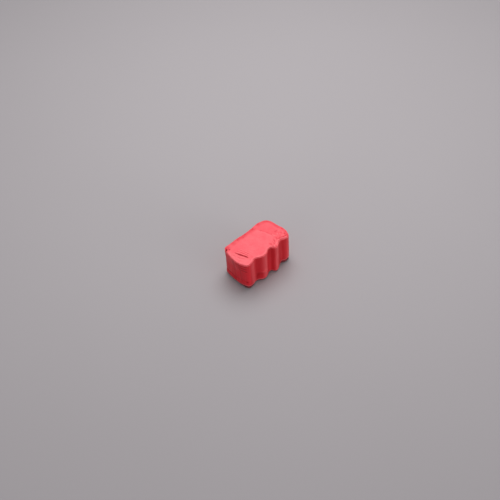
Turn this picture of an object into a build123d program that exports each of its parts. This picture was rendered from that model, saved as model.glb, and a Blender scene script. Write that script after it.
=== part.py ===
from build123d import *
import math
import os

# A pressed block of cue chalk with flutes down one long side, standing upright. One strip of paper
# is glued round its four sides and lapped at the back, and a paper label is glued under it.
# Millimetres. X runs along the block, -Y points out of the fluted side and +Z points up. The
# origin is the centre of the whole block's footprint, on the surface that it stands on.

# Overall size, over the paper
length = 38.5
width = 22.0
height = 22.0

# Paper and glue
paper = 0.16
glue = 0.08
skin = paper + glue
lap_length = 4.5
lap_jog = 1.2
lap_x = -9.0
wrap_foot = 1.2
wrap_reveal = 0.65
label_inset = 0.9

# Outline of the chalk, seen from above
lobe_count = 4
flute_depth = 1.8
lobe_share = 0.645
end_bulge = 1.2
front_corner_r = 2.6
near_back_corner_r = 2.0
far_back_corner_r = 4.0

# Top: level in the middle, and falling away beyond two creases that run slantwise across it
crease_slant = 15.0
near_crease_x = -15.2
near_fall = 8.0
near_crease_round = 12.0
far_crease_x = 9.0
far_fall = 4.0
edge_round = 0.6
foot_round = 0.7

# Marks in the top: a slit along the near crease, and a chip out of the corner beside it
slit_length = 9.5
slit_width = 0.5
slit_depth = 0.9
slit_middle_y = -1.0
chip_r = 0.9
chip_x = -18.2
chip_y = 8.8

# Worked out: the chalk's own faces, inside the paper. The lap stands one skin proud of the back.
front_y = -width / 2 + skin
back_y = width / 2 - 2 * skin
middle_y = (front_y + back_y) / 2
half_depth = (back_y - front_y) / 2
end_x = length / 2 - skin
end_r = (half_depth**2 + end_bulge**2) / (2 * end_bulge)
end_centre_x = end_x - end_r

# The end lobes' crests stand where the front corners' arcs begin.
crest_x = end_centre_x + math.sqrt((end_r - front_corner_r) ** 2 - (half_depth - front_corner_r) ** 2)
lobe_pitch = 2 * crest_x / (lobe_count - 1)
radius_sum = (lobe_pitch**2 / 4 + flute_depth**2) / (2 * flute_depth)
lobe_r = lobe_share * radius_sum
flute_r = radius_sum - lobe_r
flank_angle = math.degrees(math.asin(lobe_pitch / 2 / radius_sum))
lobe_centre_y = front_y + lobe_r
flute_centre_y = front_y + flute_depth - flute_r


def corner(side, r, front):
    """Centre of a corner's arc, tangent to the bowed end and to the front or back line."""
    dy = half_depth - r
    dx = end_centre_x + math.sqrt((end_r - r) ** 2 - dy**2)
    y = middle_y - dy if front else middle_y + dy
    return side * dx, y


def bearing(side, centre):
    """Direction from a bowed end's centre through a corner's centre, in degrees from 0 to 360."""
    x, y = centre
    return math.degrees(math.atan2(y - middle_y, x - side * end_centre_x)) % 360


def arc(centre, r, start, end):
    """An arc about a centre, from one direction to another, in degrees."""
    return CenterArc((*centre, 0), r, start, end - start)


def fluted_front(grow):
    """Lobes and flutes from the near corner's crest to the far one's."""
    edges = []
    for i in range(lobe_count):
        x = -crest_x + i * lobe_pitch
        first = 270 if i == 0 else 270 - flank_angle
        last = 270 if i == lobe_count - 1 else 270 + flank_angle
        edges.append(arc((x, lobe_centre_y), lobe_r + grow, first, last))
        if i < lobe_count - 1:
            valley = (x + lobe_pitch / 2, flute_centre_y)
            edges.append(arc(valley, flute_r - grow, 90 + flank_angle, 90 - flank_angle))
    return edges


def outline(grow=0.0):
    """The block's outline as a face, with every side moved outwards by grow."""
    near_front = corner(-1, front_corner_r, True)
    far_front = corner(1, front_corner_r, True)
    near_back = corner(-1, near_back_corner_r, False)
    far_back = corner(1, far_back_corner_r, False)
    near_end = (-end_centre_x, middle_y)
    far_end = (end_centre_x, middle_y)
    near_angles = bearing(-1, near_back), bearing(-1, near_front)
    far_angles = bearing(1, far_front), bearing(1, far_back)
    back = back_y + grow
    edges = fluted_front(grow)
    edges.append(arc(far_front, front_corner_r + grow, 270, far_angles[0]))
    edges.append(arc(far_end, end_r + grow, far_angles[0], far_angles[1] + 360))
    edges.append(arc(far_back, far_back_corner_r + grow, far_angles[1], 90))
    edges.append(Line((far_back[0], back), (near_back[0], back)))
    edges.append(arc(near_back, near_back_corner_r + grow, 90, near_angles[0]))
    edges.append(arc(near_end, end_r + grow, *near_angles))
    edges.append(arc(near_front, front_corner_r + grow, near_angles[1], 270))
    return make_face(Wire(edges))


def column(grow, low, high):
    """The outline, moved outwards by grow, raised between two heights."""
    return Pos(0, 0, low) * extrude(outline(grow), high - low)


def under_top(solid, lowered):
    """Cuts a solid down to the top's level face and its two falling ones, all lowered alike."""
    slant = math.radians(crease_slant)
    across = (math.cos(slant), math.sin(slant))
    level = height - lowered
    solid = split(solid, bisect_by=Plane((0, 0, level)), keep=Keep.BOTTOM)
    for x, fall, way in ((near_crease_x, near_fall, -1), (far_crease_x, far_fall, 1)):
        lean = way * math.sin(math.radians(fall))
        normal = (across[0] * lean, across[1] * lean, math.cos(math.radians(fall)))
        solid = split(solid, bisect_by=Plane((x, 0, level), z_dir=normal), keep=Keep.BOTTOM)
    return solid


def side_layer(inner, outer):
    """One layer round the four sides, between two distances from the chalk."""
    ring = column(outer, wrap_foot, height) - column(inner, wrap_foot, height)
    return under_top(ring, wrap_reveal)


def plan_block(points):
    """A block of the wrap's height, over a straight-sided shape drawn from above."""
    face = make_face(Polyline(*points, close=True))
    return under_top(Pos(0, 0, wrap_foot) * extrude(face, height - wrap_foot), wrap_reveal)


def slit():
    """A thin slot, straight down, along the near crease."""
    x = near_crease_x - slit_middle_y * math.tan(math.radians(crease_slant))
    blade = Box(slit_width, slit_length, 2 * slit_depth)
    return Pos(x, slit_middle_y, height) * Rot(0, 0, crease_slant) * blade


def top_faces(block):
    """The faces that look up, none of them steeper than the near fall."""
    steepest = math.cos(math.radians(near_fall + 1))
    return [face for face in block.faces() if face.normal_at().Z > steepest]


def near_crease(block):
    """The edge between the level face and the steeper of the two falling ones."""
    edges = [edge for face in top_faces(block) for edge in face.edges()]
    shared = [edge for i, edge in enumerate(edges) if edge in edges[:i]]
    return [edge for edge in shared if edge.center().X < 0]


def rim(block):
    """The edges where the top meets the sides."""
    edges = [edge for face in top_faces(block) for edge in face.edges()]
    return [edge for edge in edges if edges.count(edge) == 1]


def chalk_block():
    """The pressed chalk, with its edges rubbed round and the marks in its top."""
    block = under_top(column(0, skin, height), 0)
    block = fillet(block.edges().group_by(Axis.Z)[0], foot_round)
    block = fillet(near_crease(block), near_crease_round)
    block = fillet(rim(block), edge_round)
    chip = Pos(chip_x, chip_y, height) * Sphere(chip_r)
    return block - slit() - chip


def side_wrap():
    """One strip round the block, whose last end steps out over its first end at the back."""
    strip = side_layer(glue, skin)
    inner = back_y + glue
    outer = back_y + skin
    step = lap_x - lap_jog
    parting = [(step, inner), (lap_x, inner), (lap_x, outer), (step, outer)]
    tongue = [
        (step, inner),
        (lap_x, inner + skin),
        (lap_x + lap_length, inner + skin),
        (lap_x + lap_length, outer + skin),
        (lap_x, outer + skin),
        (step, outer),
    ]
    return strip - plan_block(parting) + plan_block(tongue)


def lap_glue():
    """The film between the strip's two ends."""
    low = back_y + skin
    high = low + glue
    end = lap_x + lap_length
    return plan_block([(lap_x, low), (end, low), (end, high), (lap_x, high)])


nodes = {
    "chalk_block": chalk_block(),
    "side_glue": side_layer(0, glue),
    "side_wrap": side_wrap(),
    "lap_glue": lap_glue(),
    "base_glue": column(-label_inset, paper, skin),
    "base_label": column(-label_inset, 0, paper),
}

os.makedirs("parts", exist_ok=True)
for name, shape in nodes.items():
    export_step(shape, "parts/" + name + ".step")
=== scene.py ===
import math

import bmesh
import bpy
import numpy as np
from mathutils import Matrix, Vector, geometry


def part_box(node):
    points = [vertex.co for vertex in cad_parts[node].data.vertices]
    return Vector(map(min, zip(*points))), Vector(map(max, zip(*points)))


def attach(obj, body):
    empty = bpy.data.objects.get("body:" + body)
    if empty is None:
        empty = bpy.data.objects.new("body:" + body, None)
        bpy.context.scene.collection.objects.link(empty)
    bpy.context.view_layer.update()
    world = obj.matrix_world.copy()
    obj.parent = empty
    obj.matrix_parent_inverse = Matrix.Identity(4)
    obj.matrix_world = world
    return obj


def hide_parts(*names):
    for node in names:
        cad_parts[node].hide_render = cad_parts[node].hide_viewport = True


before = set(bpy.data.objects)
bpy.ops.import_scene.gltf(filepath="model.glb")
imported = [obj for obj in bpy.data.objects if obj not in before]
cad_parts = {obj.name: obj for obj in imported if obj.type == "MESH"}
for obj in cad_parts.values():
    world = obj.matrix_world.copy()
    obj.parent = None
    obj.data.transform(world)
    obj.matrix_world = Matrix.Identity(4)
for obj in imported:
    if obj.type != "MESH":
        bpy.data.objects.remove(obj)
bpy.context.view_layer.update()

# The looks of a fluted block of cue chalk in a glued paper wrap. Shapes are worked out in
# millimetres, in the frame of the CAD part, and turned into metres as each mesh is made.
MM = 0.001

# ---------------------------------------------------------------- sizes, in millimetres

CHALK_LOW, CHALK_HIGH = (np.array(corner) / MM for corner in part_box("chalk_block"))
WRAP_LOW, WRAP_HIGH = (np.array(corner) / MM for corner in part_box("side_wrap"))
GLUE_LOW = np.array(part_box("side_glue")[0]) / MM
LAP_LOW, LAP_HIGH = (np.array(corner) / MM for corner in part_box("lap_glue"))

TOP = CHALK_HIGH[2]
FOOT = CHALK_LOW[2]
WRAP_FOOT = WRAP_LOW[2]
GLUE = CHALK_LOW[1] - GLUE_LOW[1]
PAPER = GLUE_LOW[1] - WRAP_LOW[1]
SKIN = GLUE + PAPER
REVEAL = TOP - WRAP_HIGH[2]
LAP_LENGTH = LAP_HIGH[0] - LAP_LOW[0]
LABEL_INSET = CHALK_HIGH[0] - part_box("base_label")[1][0] / MM

# The top is level between two creases and falls away beyond them. The near crease is the part's;
# the far one stands a little farther on and bows out, where the part's is straight.
SLANT = math.radians(15.0)
NEAR_CREASE = -15.2
NEAR_FALL = math.radians(8.0)
FAR_CREASE = 9.5
FAR_FALL = math.radians(4.0)
FAR_BOW = 0.033
FAR_BOW_MIDDLE = -3.2
CREASE_SOFTNESS = 0.45

EDGE_ROUND = 0.6
FOOT_ROUND = 0.7

# The slit and the corner's chip, close to where the part has them, and a scar beside the chip
SLIT_MIDDLE = -1.0
SLIT_LENGTH = 9.5
SLIT_WIDTH = 0.38
SLIT_DEPTH = 0.9
SLIT_ASIDE = 0.25
SLIT_X = NEAR_CREASE + SLIT_ASIDE - SLIT_MIDDLE * math.tan(SLANT)
SLIT_REACH = SLIT_LENGTH / 2 + 0.5
CHIP = (-17.85, 8.5)
CHIP_R = 0.82
SCAR = (-16.3, 7.1)
SCAR_R = 0.5

# Small pits that pressing left: how many, how far out from the middle, radius and depth
PIT_COUNT = 110
PIT_REACH = (18.5, 10.5)
PIT_R = (0.1, 0.3)
PIT_DEPTH = (0.03, 0.1)

# How the near end, back and lobes stand unevenly, in rows of place, half width and distance
END_BOW = [(4.0, 6.0, 0.9), (-3.4, 4.6, 0.95)]
BACK_BOW = [(10.2, 4.0, 0.95), (-0.5, 4.5, -0.15)]
LOBES_ASIDE = [(0.4, 3.0, 0.9), (-9.8, 3.0, -0.9), (6.0, 3.2, -1.2)]
LOBES_BACK = [(-14.9, 2.8, 0.7), (-4.8, 3.0, -0.4), (6.0, 2.6, -0.95)]
# Where each lobe's crest gets a painted highlight: place, half width and how much
CREST_HIGHLIGHTS = [(-12.4, 2.8, 0.95), (-3.7, 2.6, 1.0), (6.2, 2.0, 1.0), (15.8, 1.1, 0.6)]

# Where the third lobe begins, and where the fourth begins and ends: each fades between two places
THIRD_LOBE_START = (1.5, 3.5)
FOURTH_LOBE_START = (8.5, 10.5)
FOURTH_LOBE_END = (16.5, 18.0)
# How far in from the rim the burr and the groove of the last two lobes run
BURR_IN = 0.85
GROOVE_IN = 1.9

# Marks low on the front: place along the block, and height
FLUTE_SWING = (-9.0, 3.5)
DENT = (-8.2, 4.2)
LEDGE = (-5.2, 7.6)

# Only this much of the block crumbles, down from the top
CRUMBLE_REACH = 3.0
# Painted shade darkens the bare chalk at its foot up to the first of these heights and fades out at the
# second
FOOT_SHADE_LINE = (2.6, 3.4)
# The paper steps out over this length before its lap
LAP_JOG = 1.2
# How far into the paper a crease may reach, as a share of its thickness
THINNEST = 0.65
# How far apart the level folds near the corner are
FOLD_PITCH = 2.1
# Distances from the rim's edge: at the top of the walls, and one that counts as far
WALL_FROM_RIM = 0.5
FAR_FROM_RIM = 9.0
# A distance that counts as far from the paper's edges
FAR_FROM_PAPER_EDGE = LABEL_INSET * 5

# Mesh steps
OUTLINE_POINTS = 820
STRIP_POINTS = 620
STRIP_ROWS = 77
FILM_ROWS = 39
CAP_STEP = 0.145
ROUND_STEPS = 7
SMOOTHINGS = 6
# Angles round a rounded edge, and heights of the walls' rings as shares, closer below the rim
QUARTER_TURN = [math.pi / 2 * k / (ROUND_STEPS - 1) for k in range(ROUND_STEPS)]
WALL_SHARES = np.concatenate([np.linspace(0.02, 0.94, 24), np.linspace(0.952, 0.994, 5)])


# ---------------------------------------------------------------- repeatable noise

def lattice(cells, seed):
    """A repeatable number from 0 to 1 for each whole-number point. Each seed gives other numbers."""
    c = cells.astype(np.int64).astype(np.uint64)
    h = c[..., 0] * np.uint64(374761393) + c[..., 1] * np.uint64(668265263)
    h = h + c[..., 2] * np.uint64(2246822519) + np.uint64(seed * 974634777 + 1013904223)
    h = (h ^ (h >> np.uint64(15))) * np.uint64(2654435761)
    h = (h ^ (h >> np.uint64(13))) * np.uint64(1274126177)
    return ((h >> np.uint64(16)) & np.uint64(0xFFFF)).astype(float) / 0xFFFF


def noise(points, size, seed):
    """Smooth noise from -1 to 1. size is the length of one lump, one number or one for each axis."""
    q = np.asarray(points, float) / size
    cell = np.floor(q)
    t = q - cell
    t = t * t * (3 - 2 * t)
    total = np.zeros(len(q))
    for dx in (0, 1):
        for dy in (0, 1):
            for dz in (0, 1):
                step = np.array([dx, dy, dz])
                weight = np.prod(np.where(step == 1, t, 1 - t), axis=1)
                total += weight * lattice(cell + step, seed)
    return 2 * total - 1


def rough(points, size, seed, octaves=3):
    """Noise with finer noise added to it, from about -1 to 1."""
    size = np.asarray(size, float)
    layers = [noise(points, size / 2**k, seed + k) / 2**k for k in range(octaves)]
    return sum(layers) / sum(0.5**k for k in range(octaves))


def ramp(value, low, high):
    """0 below low, 1 above high and a smooth rise between."""
    t = np.clip((value - low) / (high - low), 0, 1)
    return t * t * (3 - 2 * t)


def bump_at(distance, width):
    """1 at no distance, falling away to nothing past about twice the width."""
    return np.exp(-((distance / width) ** 2))


def bumps(value, rows):
    """Several bumps added up, from rows of place, half width and size."""
    return sum(size * bump_at(value - place, width) for place, width, size in rows)


# ---------------------------------------------------------------- the outline, from the CAD block

def section(node, z):
    """The outline of a CAD node at a height, anticlockwise from the middle of its back."""
    bm = bmesh.new()
    bm.from_mesh(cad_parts[node].data)
    bmesh.ops.remove_doubles(bm, verts=bm.verts, dist=0.001 * MM)
    everything = bm.verts[:] + bm.edges[:] + bm.faces[:]
    cut = bmesh.ops.bisect_plane(bm, geom=everything, plane_co=(0, 0, z * MM), plane_no=(0, 0, 1))
    edges = [e for e in cut["geom_cut"] if isinstance(e, bmesh.types.BMEdge)]
    beside = {}
    for edge in edges:
        a, b = edge.verts
        beside.setdefault(a, []).append(b)
        beside.setdefault(b, []).append(a)
    first = max(beside, key=lambda v: (round(v.co.y, 6), v.co.x))
    loop = [first]
    last, here = None, first
    while True:
        step = next(v for v in beside[here] if v is not last)
        if step is first:
            break
        loop.append(step)
        last, here = here, step
    points = np.array([v.co[:2] for v in loop]) / MM
    bm.free()
    ahead = np.roll(points, -1, axis=0)
    area = np.sum(points[:, 0] * ahead[:, 1] - ahead[:, 0] * points[:, 1])
    return points if area > 0 else points[::-1]


def spaced(loop, count):
    """The same closed outline with evenly spaced points, its small facets smoothed."""
    closed = np.vstack([loop, loop[:1]])
    along = np.concatenate([[0], np.cumsum(np.linalg.norm(np.diff(closed, axis=0), axis=1))])
    want = np.linspace(0, along[-1], count, endpoint=False)
    points = np.column_stack([np.interp(want, along, closed[:, k]) for k in (0, 1)])
    for _ in range(SMOOTHINGS):
        points = (np.roll(points, 1, axis=0) + 2 * points + np.roll(points, -1, axis=0)) / 4
    return points


def normals(loop):
    """Outward directions of a closed anticlockwise outline."""
    tangent = np.roll(loop, -1, axis=0) - np.roll(loop, 1, axis=0)
    tangent /= np.linalg.norm(tangent, axis=1)[:, None]
    return np.column_stack([tangent[:, 1], -tangent[:, 0]])


BLOCK_LOOP = section("chalk_block", (FOOT + TOP) / 2)
OUTLINE = spaced(BLOCK_LOOP, OUTLINE_POINTS)
OUTWARD = normals(OUTLINE)


# ---------------------------------------------------------------- shape shared by every layer

def across_crease(x, y, crease):
    """Distance past a crease, square to it, towards the far end."""
    return (x - crease) * math.cos(SLANT) + y * math.sin(SLANT)


def past_far_crease(x, y):
    """Distance past the far crease, which bows out towards the far end."""
    return x - FAR_CREASE + FAR_BOW * (y - FAR_BOW_MIDDLE) ** 2


def soft(distance):
    """Nothing before a crease and the distance after it, with a soft change between."""
    return CREASE_SOFTNESS * np.logaddexp(0, distance / CREASE_SOFTNESS)


def top_height(x, y):
    """The top, before any marks in it."""
    near = -across_crease(x, y, NEAR_CREASE)
    far = past_far_crease(x, y)
    return TOP - math.tan(NEAR_FALL) * soft(near) - math.tan(FAR_FALL) * soft(far)


def pushed(points):
    """Moves points on the walls as the soft, uneven pressing has: every layer moves alike."""
    p = points.copy()
    x, y, z = points.T
    up = (z - FOOT) / (TOP - FOOT)
    # The near end bows out more at the top than at the foot.
    end = ramp(-x, 13.0, 18.0)
    p[:, 0] -= end * bump_at(y + 2.0, 7.5) * (0.55 * ramp(up, 0.35, 1.0) - 0.1 * (1 - up) ** 2)
    p[:, 0] -= end * bumps(y, END_BOW) * ramp(up, 0.5, 1.0)
    # The far end draws back behind its middle, and the back stands fuller beside it.
    far_end = ramp(x, 13.5, 18.0)
    p[:, 0] -= far_end * (0.45 * ramp(-y, 5.0, 9.0) + 0.75 * ramp(y, -3.0, 3.0))
    p[:, 1] += ramp(y, 4.0, 9.0) * bumps(x, BACK_BOW)
    # The lobes stand unevenly apart, the first and last stand back, and all lean back at the top.
    forward = ramp(-y, 4.0, 8.5)
    back = bumps(x, LOBES_BACK) + 0.75 * ramp(x, 12.0, 16.0)
    p[:, 0] += forward * bumps(x, LOBES_ASIDE)
    p[:, 1] += forward * (back + 0.4 * ramp(up, 0.3, 1.0))
    # The first flute swings aside near its foot, under a ledge on the second lobe.
    front = ramp(-y, 5.5, 8.0)
    p[:, 0] += 1.5 * front * bump_at(x - FLUTE_SWING[0], 2.8) * bump_at(z - FLUTE_SWING[1], 4.5)
    p[:, 1] += front * dent_share(x, z)
    p[:, 1] -= 0.55 * front * ledge_share(x, z, 0.9)
    # A slack crease runs low across the near end.
    p[:, 0] += 0.26 * ramp(-x, 16.0, 18.5) * bump_at(z - crease_height(y), 0.8)
    # No wall is quite true, and the middle of each draws in slightly.
    amount = 0.12 * noise(points, (7.0, 7.0, 26.0), 3) + 0.05 * noise(points, (3.4, 3.4, 6.0), 5)
    amount -= 0.1 * np.sin(np.pi * np.clip(up, 0, 1))
    p[:, :2] += amount[:, None] * wall_direction(x, y)
    return p


def dent_share(x, z):
    """The hollow low on the second lobe, from 0 to 1."""
    return bump_at(x - DENT[0], 2.0) * bump_at(z - DENT[1], 2.0)


def ledge_share(x, z, width):
    """The ledge over that hollow, from 0 to 1."""
    past = x - LEDGE[0]
    return bump_at(past, 2.5) * bump_at(z - LEDGE[1] + 0.35 * past, width)


def crease_height(y):
    """Height of the slack crease that runs low across the near end, and rises at the near corner."""
    return 4.7 + 1.6 * ramp(-y, 1.0, 8.0)


def wall_direction(x, y):
    """Roughly outwards, anywhere near the walls. The high powers keep it square to the nearest one."""
    half = (CHALK_HIGH[:2] - CHALK_LOW[:2]) / 2
    d = np.column_stack([np.sign(x) * np.abs(x / half[0]) ** 9, np.sign(y) * np.abs(y / half[1]) ** 5])
    return d / np.maximum(np.linalg.norm(d, axis=1), 1e-6)[:, None]


# ---------------------------------------------------------------- meshes

def mesh_object(name, points, faces, attributes=None):
    """A smooth-shaded object from points in millimetres, with its faces turned outwards."""
    mesh = bpy.data.meshes.new(name)
    mesh.from_pydata((np.asarray(points) * MM).tolist(), [], faces)
    for key, values in (attributes or {}).items():
        layer = mesh.attributes.new(key, "FLOAT", "POINT")
        layer.data.foreach_set("value", np.asarray(values, np.float32))
    bm = bmesh.new()
    bm.from_mesh(mesh)
    bmesh.ops.recalc_face_normals(bm, faces=bm.faces)
    for face in bm.faces:
        face.smooth = True
    bm.to_mesh(mesh)
    bm.free()
    obj = bpy.data.objects.new(name, mesh)
    bpy.context.scene.collection.objects.link(obj)
    return obj


def ring_faces(start_a, start_b, count, closed=True):
    """Quads between two rings, or two open rows, that start at these point numbers."""
    last = count if closed else count - 1
    quads = []
    for i in range(last):
        j = (i + 1) % count
        quads.append((start_a + i, start_a + j, start_b + j, start_b + i))
    return quads


def slit_frame(x, y):
    """Distance across the slit, towards the far end, and along it from its middle."""
    dx, dy = x - SLIT_X, y - SLIT_MIDDLE
    across = dx * math.cos(SLANT) + dy * math.sin(SLANT)
    along = -dx * math.sin(SLANT) + dy * math.cos(SLANT)
    return across, along


def slit_points():
    """Rows of points close along the slit, so that its walls stand steep."""
    rows = np.array([0.0, 0.07, 0.12, 0.16, 0.21, 0.3, 0.42])
    across = np.concatenate([-rows[:0:-1], rows])
    along = np.arange(-SLIT_REACH, SLIT_REACH, 0.11)
    u, v = (grid.ravel() for grid in np.meshgrid(across, along))
    x = SLIT_X + u * math.cos(SLANT) - v * math.sin(SLANT)
    y = SLIT_MIDDLE + u * math.sin(SLANT) + v * math.cos(SLANT)
    return np.column_stack([x, y])


def nearest(points, loop):
    """Distance from each point to the nearest point of a loop, worked out in batches."""
    batch = 4000
    best = np.full(len(points), np.inf)
    for start in range(0, len(points), batch):
        part = points[start:start + batch]
        gap = part[:, None, :] - loop[None, :, :]
        best[start:start + batch] = np.sqrt((gap**2).sum(axis=2).min(axis=1))
    return best


def cap_points(ring):
    """Points all over the top, inside a ring: an even triangular grid, and the slit's own rows."""
    low, high = ring.min(axis=0), ring.max(axis=0)
    row_step = CAP_STEP * math.sqrt(3) / 2
    rows = np.arange(low[1], high[1], row_step)
    columns = np.arange(low[0], high[0], CAP_STEP)
    x, y = (grid.ravel() for grid in np.meshgrid(columns, rows))
    shift = (np.round((y - low[1]) / row_step) % 2) * CAP_STEP / 2
    grid = np.column_stack([x + shift, y])
    across, along = slit_frame(grid[:, 0], grid[:, 1])
    clear = (np.abs(across) > 0.5) | (np.abs(along) > SLIT_REACH + 0.05)
    grid = np.vstack([grid[clear], slit_points()])
    distance = nearest(grid, ring)
    inside = inside_loop(grid, ring) & (distance > 0.6 * CAP_STEP)
    return grid[inside], distance[inside]


def inside_loop(points, loop):
    """Which points lie inside a closed loop."""
    inside = np.zeros(len(points), bool)
    x, y = points.T
    for (x0, y0), (x1, y1) in zip(loop, np.roll(loop, -1, axis=0)):
        if y0 == y1:
            continue
        crosses = (y0 > y) != (y1 > y)
        inside ^= crosses & (x < (x1 - x0) * (y - y0) / (y1 - y0) + x0)
    return inside


def triangles(ring, inner):
    """Triangles over a ring and the points inside it, numbered ring first and then inner."""
    points = np.vstack([ring, inner])
    loop = list(range(len(ring)))
    flat = [Vector(p) for p in points]
    result = geometry.delaunay_2d_cdt(flat, [], [loop], 0, 1e-6, True)
    origin = np.array([group[0] for group in result[3]])
    faces = origin[np.array(result[2])]
    # The triangulation fills the hollows of the outline too, and those faces go.
    kept = inside_loop(points[faces].mean(axis=1), ring)
    return [tuple(face) for face in faces[kept].tolist()]


# ---------------------------------------------------------------- marks on the top

def last_lobes(x, y, depth):
    """1 along the rim of the third and fourth lobes, and for this depth in from it."""
    along = ramp(x, *THIRD_LOBE_START) * (1 - ramp(x, *FOURTH_LOBE_END))
    return along * ramp(-y, 8.6 - depth, 9.4 - depth)


def crumbled(points, edge):
    """How far the chalk has crumbled away, in mm, near the edge of the top."""
    x, y = points[:, 0], points[:, 1]
    rough_part = last_lobes(x, y, 2.0)
    lumps = 0.035 * rough(points, 0.8, 11, 3) * (1 + 1.6 * rough_part)
    chips = 0.3 * ramp(noise(points, 1.3, 17), 0.5, 0.9)
    nibbles = 0.16 * ramp(noise(points, 0.55, 23), 0.35, 0.8) * (0.35 + rough_part)
    return bump_at(edge, 0.55) * (chips + nibbles) + lumps * bump_at(edge, 1.1)


class Marks:
    """Height of the marks on the top, in mm, and how dark and how pale each makes the chalk: dark as
    painted shade, pale as painted highlight.
    """

    def __init__(self, count):
        self.height = np.zeros(count)
        self.dark = np.zeros(count)
        self.pale = np.zeros(count)

    def add(self, share, height, dark=0.0, pale=0.0):
        """A mark that is there as far as share says, from 0 to 1."""
        self.height += height * share
        self.dark = np.maximum(self.dark, dark * share)
        self.pale = np.maximum(self.pale, pale * share)


def slit_marks(marks, points):
    """The slit with its lips, and the chatter lines that run beside it, painted dark as shade in the slit
    and lines and pale as highlight on the lips and ridges.
    """
    across, along = slit_frame(points[:, 0], points[:, 1])
    wander = np.abs(across + 0.06 * noise(np.column_stack([along, 0 * along, 0 * along]), 1.2, 41))
    taper = 1 - ramp(along, 0.5 * SLIT_LENGTH - 0.9, 0.5 * SLIT_LENGTH)
    taper *= 1 - ramp(-along, 0.5 * SLIT_LENGTH - 0.4, 0.5 * SLIT_LENGTH + 0.3)
    beads = bump_at(along - 0.4, 0.8) + bump_at(along + 3.0, 1.0)
    opened = 0.45 + 0.55 * (1 - ramp(along, 0.6, 3.2))
    open_half = SLIT_WIDTH / 2 * opened * (1.3 + 0.35 * beads)
    gap = taper * (1 - ramp(wander, open_half * 0.6, open_half * 1.2))
    # The slit and the band round it are painted dark as the shade in them
    marks.add(gap, -SLIT_DEPTH * opened, dark=1.0)
    marks.add(taper * opened * bump_at(wander, 0.42), -0.08, dark=0.8)
    # The lips are painted pale as highlight
    lip = bump_at(wander - 0.5, 0.2) * taper
    marks.add(lip * (0.6 + 0.4 * noise(points, 0.5, 43)), 0.06, pale=0.5)
    # The slit's tail is painted dark as shade
    tail = bump_at(wander, 0.2) * ramp(-along, 4.4, 5.0) * (1 - ramp(-along, 5.6, 6.6))
    marks.add(tail, -0.1, dark=0.4)

    chatter(marks, points, across - 1.35, along + 0.2 * across, pitch=1.35, count=3, reach=4.6)
    chatter(marks, points, -across - 1.5, along - 0.4, pitch=1.5, count=2, reach=6.0, strength=0.5)
    # The near facet beyond the slit is painted paler as light
    marks.add(ramp(-across, 0.4, 1.4), 0.0, pale=0.45)


def chatter(marks, points, across, along, pitch, count, reach, strength=1.0):
    """Short thin lines side by side, painted dark as shade, with ridges between them painted pale as
    highlight.
    """
    for k in range(count):
        off = np.abs(across - k * pitch + 0.12 * noise(points, 2.2, 47 + k))
        shown = strength * (1 - ramp(np.abs(along), 0.55 * reach, reach)) * (1 - 0.2 * k)
        patchy = np.clip(0.75 + 0.5 * noise(points, (1.5, 1.5, 1.0), 51 + k), 0, 1)
        marks.add(shown * patchy * bump_at(off, 0.24), -0.16, dark=0.85)
        marks.add(shown * patchy * bump_at(off - pitch / 2, 0.28), 0.05, pale=0.7)


def far_marks(marks, points):
    """The far crease: a thin open line over part of its length, painted dark as shade with a painted
    highlight beside it, and painted shade on the chalk beyond it.
    """
    x, y = points[:, 0], points[:, 1]
    past = past_far_crease(x, y) + 0.16 * noise(points, 1.5, 59)
    shown = ramp(y, -6.0, -1.5) * (1 - ramp(y, 5.4, 8.0))
    broken = np.clip(0.8 + 0.5 * noise(points, 1.4, 61), 0, 1)
    marks.add(shown * bump_at(past, 0.4) * broken, -0.18, dark=0.6)
    marks.add(shown * bump_at(past + 1.0, 0.5) * broken, 0.04, pale=0.35)
    # Painted shade on the facet beyond the far crease
    marks.add(ramp(past, 0.0, 0.5), -0.02, dark=0.22)


def lip_marks(marks, points, edge):
    """The burr along the last two lobes, the groove behind it and the torn chalk round it."""
    x, y = points[:, 0], points[:, 1]
    fourth_lobe = ramp(x, *FOURTH_LOBE_START)
    jagged = 0.55 * rough(points, (1.3, 1.3, 1.0), 63, 3) * (1 - fourth_lobe)
    wave = edge + jagged + 0.12 * noise(points, (1.5, 1.5, 1.0), 65)
    near_rim = last_lobes(x, y, 2.6)
    broken = np.clip(0.6 + 0.8 * noise(points, 1.0, 67) + 0.45 * fourth_lobe, 0.0, 1)
    closer = 0.3 * fourth_lobe
    burr = bump_at(wave - BURR_IN + closer, 0.36 - 0.3 * closer)
    groove = bump_at(wave - GROOVE_IN + 1.8 * closer, 0.36)
    # The burr and raised crumbs are painted pale as highlight; the groove, broken rim, drag marks and
    # hollows among the crumbs are painted dark as shade
    marks.add(near_rim * burr * broken, 0.32, pale=1.0)
    marks.add(near_rim * groove * broken, -0.22, dark=0.75)
    marks.add(near_rim * bump_at(wave - 0.3, 0.3) * (1 - broken), -0.22, dark=0.7)
    # Short drag marks run in from the burr, among crumbs and small dimples.
    drag = ramp(noise(points, (0.5, 2.4, 1.0), 71), 0.1, 0.8)
    inwards = ramp(x, 2.0, 4.0) * ramp(-y, 4.2, 6.5) * ramp(edge, 1.6, 2.4)
    marks.add(drag * inwards, -0.1, dark=0.5)
    torn = ramp(x, 6.0, 9.0) * ramp(-y, -2.0, 3.0) * (1 - ramp(x, *FOURTH_LOBE_END))
    crumbs = rough(points, 1.25, 73, 2)
    marks.add(torn * ramp(crumbs, 0.2, 0.5), -0.18, dark=0.7)
    marks.add(torn * ramp(-crumbs, 0.2, 0.5), 0.17, pale=1.0)


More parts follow.
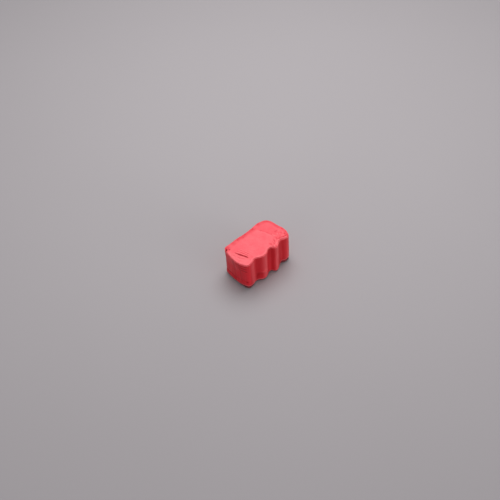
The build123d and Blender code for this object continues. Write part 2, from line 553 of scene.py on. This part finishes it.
def rim_marks(marks, points, edge):
    """Back and far rims, worn down and painted darker in patches as shade, and front and near rims painted
    paler as highlight.
    """
    x, y = points[:, 0], points[:, 1]
    worn_and_shaded = np.maximum(ramp(y, 5.0, 8.0), ramp(x, 13.5, 17.0))
    patches = 0.8 + 0.5 * noise(points, 2.4, 75)
    marks.add(worn_and_shaded * bump_at(edge, 2.0), -0.3)
    # Painted shade on the back and far rims, in patches and spots
    marks.add(worn_and_shaded * bump_at(edge, 3.4) * np.clip(patches, 0.4, 1), 0.0, dark=0.58)
    shade_patches = ramp(noise(points, 2.0, 77), 0.15, 0.55)
    marks.add(worn_and_shaded * bump_at(edge - 1.0, 1.2) * shade_patches, -0.14, dark=0.8)
    # Painted highlight on the front and near rims
    first_lobes = ramp(-y, 8.0, 9.5) * (1 - ramp(x, *THIRD_LOBE_START))
    marks.add(first_lobes * bump_at(edge - 0.5, 0.5), 0.03, pale=0.5)
    marks.add(ramp(-x, 16.0, 17.5) * bump_at(edge - 0.6, 0.7), 0.02, pale=0.45)


def top_marks(points, edge):
    """Every mark on the top."""
    x, y = points[:, 0], points[:, 1]
    marks = Marks(len(points))
    marks.height += 0.012 * rough(points, 1.1, 31, 3) + 0.035 * noise(points, 4.5, 37)
    rng = np.random.default_rng(7)
    for _ in range(PIT_COUNT):
        px, py = (rng.uniform(-reach, reach) for reach in PIT_REACH)
        r, deep = rng.uniform(*PIT_R), rng.uniform(*PIT_DEPTH)
        # Each pit is painted dark as the shade in it
        marks.add(bump_at(np.hypot(x - px, y - py), r), -deep, dark=0.5)
    slit_marks(marks, points)
    far_marks(marks, points)
    lip_marks(marks, points, edge)
    rim_marks(marks, points, edge)
    # The corner's chip, and a shallow scar beside it, both painted dark as the shade in their hollows
    pit = 1 - ramp(np.hypot(x - CHIP[0], y - CHIP[1]), 0.6 * CHIP_R, 1.15 * CHIP_R)
    marks.add(pit, -1.3 * CHIP_R, dark=1.0)
    marks.add(bump_at(np.hypot(x - SCAR[0], y - SCAR[1]), SCAR_R), -0.22, dark=1.0)
    return marks


# ---------------------------------------------------------------- the pressed block

def chalk_rings(rim):
    """Rings of points from the foot to the rim, and how far each point is from the rim's edge."""
    count = OUTLINE_POINTS
    rings = []
    edges = []
    for turn in QUARTER_TURN:
        inset = FOOT_ROUND * (1 - math.sin(turn))
        z = np.full(count, FOOT + FOOT_ROUND * (1 - math.cos(turn)))
        rings.append(np.column_stack([OUTLINE - OUTWARD * inset, z]))
        edges.append(np.full(count, FAR_FROM_RIM))
    wall_top = top_height(*rim.T) - EDGE_ROUND
    wall_foot = FOOT + FOOT_ROUND
    for share in WALL_SHARES:
        z = wall_foot + share * (wall_top - wall_foot)
        rings.append(np.column_stack([OUTLINE, z]))
        edges.append(wall_top - z + WALL_FROM_RIM)
    for turn in QUARTER_TURN:
        flat = OUTLINE - OUTWARD * EDGE_ROUND * (1 - math.cos(turn))
        z = wall_top + EDGE_ROUND * math.sin(turn)
        rings.append(np.column_stack([flat, z]))
        edges.append(np.full(count, abs(turn / (math.pi / 2) - 0.5) * EDGE_ROUND))
    return rings, edges


def facing_up(ring_count, cap_count):
    """0 on the walls, rising round the rim to 1 on the top, for each point of the block."""
    step = np.arange(ring_count) - (ring_count - ROUND_STEPS)
    on_rings = np.clip(step / (ROUND_STEPS - 1), 0, 1)
    return np.concatenate([np.repeat(on_rings, OUTLINE_POINTS), np.ones(cap_count)])


def chalk():
    """The pressed block: rounded foot, walls, rubbed rim and the marked top."""
    count = OUTLINE_POINTS
    rim = OUTLINE - OUTWARD * EDGE_ROUND
    rings, edges = chalk_rings(rim)
    inner, distance = cap_points(rim)
    cap = np.column_stack([inner, top_height(*inner.T)])
    points = np.vstack(rings + [cap])
    edge = np.concatenate(edges + [distance + EDGE_ROUND / 2])

    last_ring = (len(rings) - 1) * count
    faces = [tuple(range(count))[::-1]]
    for k in range(len(rings) - 1):
        faces += ring_faces(k * count, (k + 1) * count, count)
    faces += [tuple(last_ring + i for i in face) for face in triangles(rim, inner)]

    tilt = facing_up(len(rings), len(cap))
    upper = ramp(points[:, 2] - (TOP - CRUMBLE_REACH), 0.0, 1.5)
    loss = crumbled(points, edge) * upper
    marks = top_marks(points, edge)
    shaped = pushed(points)
    shaped[:, :2] -= (loss * (1 - tilt))[:, None] * wall_direction(points[:, 0], points[:, 1])
    shaped[:, 2] -= loss * tilt
    shaped[:, 2] += marks.height * tilt
    shaped[:, 2] = np.maximum(shaped[:, 2], FOOT)

    seen = np.maximum(tilt, upper)
    # The chalk's walls are painted 0.6 dark as shade, under the rim and down the sides
    wall = 1 - ramp(tilt, 0.1, 0.6)
    # Painted shade at the chalk's foot, where it meets the floor
    foot_shade = 1 - ramp(points[:, 2] + 0.3 * noise(points, 1.5, 79), *FOOT_SHADE_LINE)
    carried_values = {
        "edge": bump_at(edge, 0.7),
        "dark": np.maximum(marks.dark * seen, 0.6 * wall),
        "pale": marks.pale * seen * (1 - wall),
        "foot_shade": foot_shade,
    }
    return mesh_object("pressed_chalk", shaped, faces, carried_values)


# ---------------------------------------------------------------- paper and glue

def twice_round():
    """The outline clockwise from the lap's start, twice over, with outward directions and distances."""
    loop, away = OUTLINE[::-1], OUTWARD[::-1]
    # The large number rules out the front, where the lap isn't.
    from_lap = np.abs(loop[:, 0] - LAP_LOW[0]) + np.where(loop[:, 1] > 0, 0.0, 100.0)
    start = int(np.argmin(from_lap))
    loop = np.vstack([np.roll(loop, -start, axis=0)] * 2)
    away = np.vstack([np.roll(away, -start, axis=0)] * 2)
    steps = np.linalg.norm(np.diff(loop, axis=0), axis=1)
    return loop, away, np.concatenate([[0], np.cumsum(steps)])


ROUND_LOOP, ROUND_AWAY, ROUND_ALONG = twice_round()
ONCE_ROUND = ROUND_ALONG[OUTLINE_POINTS]


def strip_path(first, last):
    """Points along the strip's way, with outward directions, distances and the step out at the lap."""
    count = max(60, round(STRIP_POINTS * (last - first) / ONCE_ROUND))
    want = np.linspace(first, last, count)
    flat = np.column_stack([np.interp(want, ROUND_ALONG, ROUND_LOOP[:, k]) for k in (0, 1)])
    out = np.column_stack([np.interp(want, ROUND_ALONG, ROUND_AWAY[:, k]) for k in (0, 1)])
    lift = SKIN * ramp(want, ONCE_ROUND - LAP_JOG, ONCE_ROUND)
    return flat, out, want, lift


def wrap_top(flat):
    """Height of the paper's upper edge at points round the block, a little frayed."""
    p = np.column_stack([flat, np.zeros(len(flat))])
    frayed = 0.05 * rough(p, 1.6, 81, 3) - 0.28 * ramp(noise(p, 0.9, 83), 0.62, 0.9)
    return top_height(*flat.T) - REVEAL + frayed


def wrap_foot(flat):
    """Height of the paper's lower edge, which stands higher at the near corner and the last lobe."""
    x, y = flat.T
    uneven = 0.05 * noise(np.column_stack([flat, 0 * x]), 2.0, 103)
    near_corner = 1.6 * bump_at(np.hypot(x + 17.0, y + 9.0), 4.0)
    last_lobe = 1.5 * ramp(x, 9.0, 11.0) * ramp(-y, 4.0, 8.0)
    return WRAP_FOOT + 0.1 + uneven + near_corner + last_lobe


def folds(points, below_edge):
    """How far, from 0 to 1, the paper is folded in: level folds by the corner, upright ones beyond."""
    x, y, z = points.T
    corner = ramp(-x, 14.0, 16.0) * ramp(-y, 1.5, 5.0) * (1 - ramp(-y, 9.3, 10.4))
    depth = ramp(below_edge, 0.2, 0.8) * (1 - ramp(below_edge, 5.5, 7.0))
    level = below_edge + 0.2 * noise(points, (2.0, 2.0, 9.0), 99)
    waves = (0.5 - 0.5 * np.cos(2 * np.pi * level / FOLD_PITCH)) ** 2
    ridges = np.clip(1.3 * corner * depth * waves, 0, 1)
    near_end = ramp(-x, 16.5, 17.8)
    upright = ramp(noise(points, (9.0, 1.5, 30.0), 97), -0.1, 0.6) * (1 - 0.8 * ramp(-y, 6.0, 8.5))
    upright *= 0.7 + 0.3 * noise(points, (9.0, 1.5, 5.0), 105)
    low_crease = bump_at(z - crease_height(y), 0.6) * (0.7 + 0.5 * noise(points, (9.0, 1.6, 1.6), 107))
    low_crease *= 0.4 + 0.6 * ramp(y, -3.0, 1.0)
    dark_spot = bump_at(np.hypot(y + 9.2, z - 5.8), 0.9)
    across_end = np.maximum(np.maximum(0.95 * upright, low_crease), dark_spot)
    hollow = ramp(-y, 7.0, 8.5) * bump_at(x + 9.3, 1.4) * bump_at(z - 4.5, 3.2)
    return np.maximum(np.maximum(ridges, near_end * across_end), hollow)


def paper_relief(points, below_edge):
    """How far the paper stands out or in, in mm: creases, streaks and scuffs."""
    relief = 0.028 * noise(points, (1.5, 1.5, 10.0), 91) + 0.014 * noise(points, (0.45, 0.45, 7.0), 93)
    relief += 0.01 * rough(points, 1.2, 95, 2)
    relief -= 0.13 * folds(points, below_edge)
    # The upper edge has lifted here and there.
    relief += 0.07 * bump_at(below_edge, 0.35) * ramp(noise(points, 2.4, 101), 0.0, 0.8)
    return np.maximum(relief, -THINNEST * PAPER)


# What the paper carries at each point: how far it is below its upper edge and above its lower one, and
# from 0 to 1 whether it is a lobe's flank in painted shade, a crest or ledge with a painted highlight, or
# a fold in painted shade
STRIP_VALUES = ("below", "above", "flank", "crest", "fold")


def strip_faces(outer_rows, inner_rows, count):
    """Faces of a thin strip: its outer and inner sides, its two long edges and its two ends."""
    faces = []
    for k in range(outer_rows - 1):
        faces += ring_faces(k * count, (k + 1) * count, count, closed=False)
    first_inner = outer_rows * count
    last_inner = first_inner + (inner_rows - 1) * count
    for start in range(first_inner, last_inner, count):
        faces += ring_faces(start + count, start, count, closed=False)
    faces += ring_faces(first_inner - count, last_inner, count, closed=False)
    faces += ring_faces(first_inner, 0, count, closed=False)
    for column in (0, count - 1):
        face = [k * count + column for k in range(outer_rows)]
        face += [first_inner + k * count + column for k in reversed(range(inner_rows))]
        faces.append(tuple(face))
    return faces


def strip(name, inner_grow, outer_grow, rows, ends, relief):
    """A closed thin strip round the sides, between two distances from the chalk.

    ends are distances along the way round, and relief says whether the outer side is creased.
    """
    flat, out, along, lift = strip_path(*ends)
    top = wrap_top(flat)
    foot = wrap_foot(flat)
    x, y = flat.T
    front = ramp(-y, 4.0, 7.0)
    # Painted shade on the lobes' flanks that face the near end
    flank = ramp(-out[:, 0], 0.12, 0.5) * ramp(-out[:, 1], 0.4, 0.7) * ramp(x, -12.0, -10.0) * front
    crest_width = 0.8 + 2.0 * ramp(-x, 8.5, 11.0)
    # A painted highlight on each lobe's crest
    crest = bump_at(y - CHALK_LOW[1], crest_width) * front * bumps(x, CREST_HIGHLIGHTS)

    def layer(grow, shares, creased):
        """Rows of points at one distance from the chalk, and the values that each row carries."""
        sheets = []
        values = []
        for share in shares:
            z = foot + share * (top - foot)
            spot = np.column_stack([flat, z])
            moved = pushed(spot)
            stand = grow + lift
            if creased:
                stand = stand + paper_relief(spot, top - z) * ramp(along, LAP_LENGTH, LAP_LENGTH + 1.0)
            moved[:, :2] += out * stand[:, None]
            sheets.append(moved)
            # The ledge gets the same painted highlight
            ledge = front * ledge_share(x, z, 0.7)
            values.append((top - z, z - foot, flank, np.maximum(crest, ledge), folds(spot, top - z)))
        return sheets, values

    even = np.linspace(0, 1, rows)
    outer, outer_values = layer(outer_grow, even, relief)
    # The paper's inner side is as finely divided as the glue films that it lies against.
    inner, inner_values = layer(inner_grow, even[:: 2 if rows > FILM_ROWS else 1], False)
    points = np.vstack(outer + inner)
    faces = strip_faces(len(outer), len(inner), len(flat))
    carried_rows = [np.concatenate(part) for part in zip(*(outer_values + inner_values))]
    return mesh_object(name, points, faces, dict(zip(STRIP_VALUES, carried_rows)))


def wrap():
    """The paper, once round the sides and on over its own start."""
    return strip("paper_wrap", GLUE, SKIN, STRIP_ROWS, (0.0, ONCE_ROUND + LAP_LENGTH), relief=True)


def glue_film():
    """Glue between the block and the paper."""
    return strip("side_glue_film", 0.0, GLUE, FILM_ROWS, (0.0, ONCE_ROUND), relief=False)


def lap_film():
    """Glue between the two layers of paper at the lap."""
    ends = (ONCE_ROUND, ONCE_ROUND + LAP_LENGTH)
    return strip("lap_glue_film", 0.0, GLUE, FILM_ROWS, ends, relief=False)


def foot_sheet(name, node):
    """A flat sheet under the block, as thick as its CAD node, that follows the block's foot."""
    count = OUTLINE_POINTS
    flat = OUTLINE - OUTWARD * LABEL_INSET
    placed = pushed(np.column_stack([flat, np.full(count, FOOT)]))[:, :2]
    heights = [corner[2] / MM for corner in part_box(node)]
    points = np.vstack([np.column_stack([placed, np.full(count, z)]) for z in heights])
    faces = [tuple(range(count))[::-1], tuple(range(count, 2 * count))] + ring_faces(0, count, count)
    plain = dict.fromkeys(STRIP_VALUES, np.zeros(2 * count))
    plain["below"] = plain["above"] = np.full(2 * count, FAR_FROM_PAPER_EDGE)
    return mesh_object(name, points, faces, plain)


# ---------------------------------------------------------------- materials

def new_material(name):
    """A material with nothing but a shader and its output, with its node tree and the shader."""
    material = bpy.data.materials.new(name)
    material.use_nodes = True
    tree = material.node_tree
    tree.nodes.clear()
    shader = tree.nodes.new("ShaderNodeBsdfPrincipled")
    output = tree.nodes.new("ShaderNodeOutputMaterial")
    tree.links.new(shader.outputs["BSDF"], output.inputs["Surface"])
    return material, tree, shader


def put(tree, socket, value):
    """Gives a socket a value, or the output of another node."""
    if isinstance(value, bpy.types.NodeSocket):
        tree.links.new(value, socket)
    else:
        socket.default_value = value


def place(tree, stretch=(1, 1, 1)):
    """Position on the object in millimetres, squeezed along each axis by stretch."""
    where = tree.nodes.new("ShaderNodeTexCoord")
    scale = tree.nodes.new("ShaderNodeMapping")
    scale.inputs["Scale"].default_value = [k / MM for k in stretch]
    tree.links.new(where.outputs["Object"], scale.inputs["Vector"])
    return scale.outputs["Vector"]


def speckle(tree, where, size, detail=3.0, roughness=0.55):
    """Noise whose lumps are about size millimetres across."""
    node = tree.nodes.new("ShaderNodeTexNoise")
    node.inputs["Scale"].default_value = 0.5 / size
    node.inputs["Detail"].default_value = detail
    node.inputs["Roughness"].default_value = roughness
    tree.links.new(where, node.inputs["Vector"])
    return node.outputs["Fac"]


def spread(tree, value, low, high, to_low=0.0, to_high=1.0):
    """A value from low to high, brought smoothly to another range."""
    node = tree.nodes.new("ShaderNodeMapRange")
    node.interpolation_type = "SMOOTHSTEP"
    put(tree, node.inputs["Value"], value)
    for key, number in zip(("From Min", "From Max", "To Min", "To Max"), (low, high, to_low, to_high)):
        node.inputs[key].default_value = number
    return node.outputs["Result"]


def sums(tree, operation, a, b):
    """Two values put together by one of the math node's operations."""
    node = tree.nodes.new("ShaderNodeMath")
    node.operation = operation
    put(tree, node.inputs[0], a)
    put(tree, node.inputs[1], b)
    return node.outputs[0]


def blend(tree, share, a, b):
    """Colour a where share is 0, and colour b where it is 1."""
    node = tree.nodes.new("ShaderNodeMix")
    node.data_type = "RGBA"
    put(tree, node.inputs["Factor"], share)
    put(tree, node.inputs["A"], a if isinstance(a, bpy.types.NodeSocket) else (*a, 1))
    put(tree, node.inputs["B"], b if isinstance(b, bpy.types.NodeSocket) else (*b, 1))
    return node.outputs["Result"]


def carried(tree, name):
    """A value that the mesh carries at each point."""
    node = tree.nodes.new("ShaderNodeAttribute")
    node.attribute_name = name
    return node.outputs["Fac"]


def relief_node(tree, height, depth, below=None):
    """A bump, depth millimetres deep, on top of another."""
    node = tree.nodes.new("ShaderNodeBump")
    node.inputs["Strength"].default_value = 1.0
    node.inputs["Distance"].default_value = depth * MM
    tree.links.new(height, node.inputs["Height"])
    if below is not None:
        tree.links.new(below, node.inputs["Normal"])
    return node.outputs["Normal"]


# Colours, as shares of red, green and blue light
CHALK_RED = (0.91, 0.112, 0.14)
CHALK_PALE = (0.95, 0.205, 0.225)
CHALK_DEEP = (0.74, 0.052, 0.072)
# The darkest painted shade, in the slit, the chip and the deepest grooves
CHALK_SHADE = (0.2, 0.006, 0.01)
# The colour of the painted shade at the chalk's foot
FOOT_SHADE = (0.055, 0.012, 0.014)
PAPER_RED = (0.78, 0.028, 0.042)
PAPER_DARK = (0.6, 0.014, 0.024)
PAPER_WORN = (0.82, 0.085, 0.098)
PAPER_HIGHLIGHT = (0.86, 0.095, 0.108)
# The colour of the painted shade in the paper's folds
PAPER_FOLD_SHADE = (0.48, 0.008, 0.015)
GLUE_TAN = (0.62, 0.4, 0.3)
FLOOR_DARK = (0.368, 0.345, 0.355)
FLOOR_PALE = (0.384, 0.361, 0.371)
SKY_COLOUR = (0.98, 0.97, 1.0)


def chalk_material():
    """Pressed powder: matte, finely grained and paler where it is rubbed, with painted highlight on its
    raised marks and painted shade in its hollows, on its walls and at its foot.
    """
    material, tree, shader = new_material("red_chalk")
    where = place(tree)
    mottle = speckle(tree, where, 3.2, 3.0)
    cloud = speckle(tree, where, 0.9, 4.0, 0.6)
    grain = speckle(tree, where, 0.16, 2.0, 0.6)
    pores = tree.nodes.new("ShaderNodeTexVoronoi")
    pores.inputs["Scale"].default_value = 1.9
    tree.links.new(where, pores.inputs["Vector"])
    pore = spread(tree, pores.outputs["Distance"], 0.1, 0.28)
    colour = blend(tree, spread(tree, mottle, 0.3, 0.7, 0.0, 0.4), CHALK_RED, CHALK_PALE)
    colour = blend(tree, spread(tree, cloud, 0.42, 0.7, 0.0, 0.3), colour, CHALK_PALE)
    colour = blend(tree, spread(tree, grain, 0.35, 0.68, 0.22, 0.0), colour, CHALK_DEEP)
    colour = blend(tree, spread(tree, pore, 0.0, 1.0, 0.3, 0.0), colour, CHALK_DEEP)
    # Paler near the rims where rubbed, and painted highlight on the raised marks
    edge = sums(tree, "MULTIPLY", carried(tree, "edge"), spread(tree, cloud, 0.35, 0.6, 0.0, 0.3))
    colour = blend(tree, sums(tree, "MAXIMUM", edge, carried(tree, "pale")), colour, CHALK_PALE)
    # Painted shade on the dark marks and the walls, deepest in the slit, the chip and the grooves
    colour = blend(tree, spread(tree, carried(tree, "dark"), 0.0, 0.7), colour, CHALK_DEEP)
    colour = blend(tree, spread(tree, carried(tree, "dark"), 0.72, 0.97), colour, CHALK_SHADE)
    # Painted shade at the foot, patchy with the cloud
    foot_shade_share = sums(tree, "MULTIPLY", carried(tree, "foot_shade"), spread(tree, cloud, 0.2, 0.6, 1.0, 0.75))
    colour = blend(tree, foot_shade_share, colour, FOOT_SHADE)
    normal = relief_node(tree, grain, 0.05)
    normal = relief_node(tree, pore, 0.03, normal)
    normal = relief_node(tree, cloud, 0.06, normal)
    put(tree, shader.inputs["Base Color"], colour)
    put(tree, shader.inputs["Roughness"], spread(tree, cloud, 0.3, 0.7, 0.86, 0.98))
    put(tree, shader.inputs["Normal"], normal)
    shader.inputs["Specular IOR Level"].default_value = 0.25
    shader.inputs["Sheen Weight"].default_value = 0.12
    shader.inputs["Sheen Roughness"].default_value = 0.6
    shader.inputs["Sheen Tint"].default_value = (1.0, 0.75, 0.75, 1)
    return material


def paper_material():
    """Coated red paper: satin, faintly streaked, with chalk rubbed into its upper part, painted shade on
    its lobes' flanks and in its folds, and painted highlight on its crests, its ledge and its lower edge.
    """
    material, tree, shader = new_material("red_paper")
    where = place(tree)
    upright = place(tree, (1, 1, 0.07))
    fibre = speckle(tree, place(tree, (1, 1, 0.6)), 0.14, 2.0, 0.6)
    streak = speckle(tree, upright, 0.42, 3.0)
    broad = speckle(tree, upright, 1.8, 2.0)
    patch = speckle(tree, where, 2.2, 4.0, 0.6)
    fine = speckle(tree, where, 0.3, 3.0, 0.65)
    below, above, flank, crest, fold = (carried(tree, name) for name in STRIP_VALUES)
    colour = blend(tree, spread(tree, broad, 0.35, 0.65), PAPER_RED, PAPER_DARK)
    colour = blend(tree, spread(tree, streak, 0.5, 0.75, 0.0, 0.25), colour, PAPER_WORN)
    # Painted shade on the lobes' flanks
    colour = blend(tree, spread(tree, flank, 0.0, 1.0, 0.0, 0.55), colour, PAPER_DARK)
    colour = blend(tree, spread(tree, fibre, 0.3, 0.6, 0.25, 0.0), colour, PAPER_DARK)
    # Painted shade in the folds, the creases and the hollow, with a dark spot on the near end
    colour = blend(tree, spread(tree, fold, 0.0, 1.0, 0.0, 0.85), colour, PAPER_FOLD_SHADE)
    streaky = spread(tree, streak, 0.25, 0.6, 0.45, 1.0)
    # Painted highlight on the crests and the ledge, streaky
    crest_highlight_share = sums(tree, "MULTIPLY", spread(tree, crest, 0.1, 0.9), streaky)
    colour = blend(tree, crest_highlight_share, colour, PAPER_HIGHLIGHT)
    # Painted highlight along the paper's lower edge
    colour = blend(tree, spread(tree, above, 0.1, 0.6, 0.85, 0.0), colour, CHALK_PALE)
    near_edge = spread(tree, below, 0.0, 2.6, 1.0, 0.0)
    very_edge = spread(tree, below, 0.0, 0.22, 1.0, 0.0)
    dusted = sums(tree, "MULTIPLY", near_edge, spread(tree, patch, 0.38, 0.68, 0.0, 0.45))
    dusted = sums(tree, "MULTIPLY", dusted, spread(tree, fine, 0.35, 0.6, 0.3, 1.0))
    loose = sums(tree, "MULTIPLY", spread(tree, patch, 0.52, 0.78, 0.0, 0.2), spread(tree, fine, 0.4, 0.6))
    dust = sums(tree, "MAXIMUM", dusted, loose)
    # Less dust on the flanks, so that their painted shade stays dark
    dust = sums(tree, "MULTIPLY", dust, spread(tree, flank, 0.2, 0.8, 1.0, 0.25))
    dust = sums(tree, "MAXIMUM", dust, sums(tree, "MULTIPLY", very_edge, 0.75))
    colour = blend(tree, dust, colour, CHALK_RED)
    normal = relief_node(tree, fibre, 0.012)
    normal = relief_node(tree, streak, 0.03, normal)
    normal = relief_node(tree, fine, 0.012, normal)
    gloss = spread(tree, patch, 0.3, 0.7, 0.38, 0.52)
    put(tree, shader.inputs["Base Color"], colour)
    put(tree, shader.inputs["Roughness"], sums(tree, "ADD", gloss, sums(tree, "MULTIPLY", dust, 0.4)))
    put(tree, shader.inputs["Normal"], normal)
    shader.inputs["Specular IOR Level"].default_value = 0.17
    return material


def glue_material():
    """Dried glue: tan, dull and a little pitted."""
    material, tree, shader = new_material("dried_glue")
    lumps = speckle(tree, place(tree), 0.5, 3.0)
    put(tree, shader.inputs["Base Color"], blend(tree, lumps, GLUE_TAN, CHALK_RED))
    put(tree, shader.inputs["Roughness"], spread(tree, lumps, 0.3, 0.7, 0.5, 0.75))
    put(tree, shader.inputs["Normal"], relief_node(tree, lumps, 0.03))
    return material


def dress(obj, material):
    """Gives a piece its material."""
    obj.data.materials.clear()
    obj.data.materials.append(material)


chalk_look = chalk_material()
paper_look = paper_material()
glue_look = glue_material()

block = chalk()
dress(block, chalk_look)
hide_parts("chalk_block")
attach(block, "root")

paper = wrap()
dress(paper, paper_look)
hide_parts("side_wrap")
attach(paper, "root")

film = glue_film()
dress(film, glue_look)
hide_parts("side_glue")
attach(film, "root")

lap = lap_film()
dress(lap, glue_look)
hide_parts("lap_glue")
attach(lap, "root")

label = foot_sheet("base_label_sheet", "base_label")
dress(label, paper_look)
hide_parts("base_label")
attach(label, "root")

base_film = foot_sheet("base_glue_film", "base_glue")
dress(base_film, glue_look)
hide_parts("base_glue")
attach(base_film, "root")


# ---------------------------------------------------------------- floor, light and camera

SKY_STRENGTH = 0.43
# name, degrees round from +X, degrees above the horizon, distance and size in metres, watts
LIGHTS = [
    ("softbox", 41.0, 67.0, 0.5, 0.45, 2.1),
    ("fill", -80.0, 16.0, 1.5, 0.8, 4.0),
    ("end fill", -165.0, 20.0, 1.5, 0.8, 1.0),
]


def pale_floor():
    """A wide, matte, very slightly mottled floor."""
    bpy.ops.mesh.primitive_circle_add(vertices=96, radius=1.2, fill_type="NGON")
    floor = bpy.context.object
    floor.name = "floor"
    material, tree, shader = new_material("floor_paper")
    tint = speckle(tree, place(tree), 90.0, 2.0)
    put(tree, shader.inputs["Base Color"], blend(tree, tint, FLOOR_DARK, FLOOR_PALE))
    shader.inputs["Roughness"].default_value = 0.9
    shader.inputs["Specular IOR Level"].default_value = 0.1
    floor.data.materials.append(material)


def even_sky():
    """A sky of one colour, which lights everything evenly."""
    world = bpy.data.worlds.new("sky")
    bpy.context.scene.world = world
    world.use_nodes = True
    sky = world.node_tree.nodes["Background"]
    sky.inputs["Color"].default_value = (*SKY_COLOUR, 1)
    sky.inputs["Strength"].default_value = SKY_STRENGTH


def soft_lights():
    """A large soft light above the far back corner, and low ones for the front and the near end."""
    for name, way, high, distance, size, watts in LIGHTS:
        data = bpy.data.lights.new(name, "AREA")
        data.shape = "DISK"
        data.size = size
        data.energy = watts
        lamp = bpy.data.objects.new(name, data)
        a, e = math.radians(way), math.radians(high)
        aim = Vector((math.cos(a) * math.cos(e), math.sin(a) * math.cos(e), math.sin(e)))
        lamp.location = aim * distance
        lamp.rotation_mode = "QUATERNION"
        lamp.rotation_quaternion = aim.to_track_quat("Z", "Y")
        bpy.context.scene.collection.objects.link(lamp)


def photo_camera():
    """The camera of the main picture: looking down at the near corner, slightly turned."""
    azimuth, elevation = math.radians(-41.85), math.radians(47.9)
    turn = math.radians(-2.23)
    distance = 0.6039
    aside, above = -0.00543, 0.00929
    back = Vector((math.sin(azimuth) * math.cos(elevation),
                   -math.cos(azimuth) * math.cos(elevation), math.sin(elevation)))
    level = Vector((math.cos(azimuth), math.sin(azimuth), 0))
    rise = back.cross(level)
    right = level * math.cos(turn) + rise * math.sin(turn)
    up = rise * math.cos(turn) - level * math.sin(turn)
    data = bpy.data.cameras.new("camera")
    data.lens = 70
    data.sensor_width = 36
    data.clip_start, data.clip_end = 0.01, 20
    camera = bpy.data.objects.new("camera", data)
    facing = Matrix((right, up, back)).transposed()
    spot = back * distance + right * aside + up * above
    camera.matrix_world = Matrix.Translation(spot) @ facing.to_4x4()
    bpy.context.scene.collection.objects.link(camera)
    bpy.context.scene.camera = camera


pale_floor()
even_sky()
soft_lights()
photo_camera()
bpy.context.scene.view_settings.view_transform = "Standard"
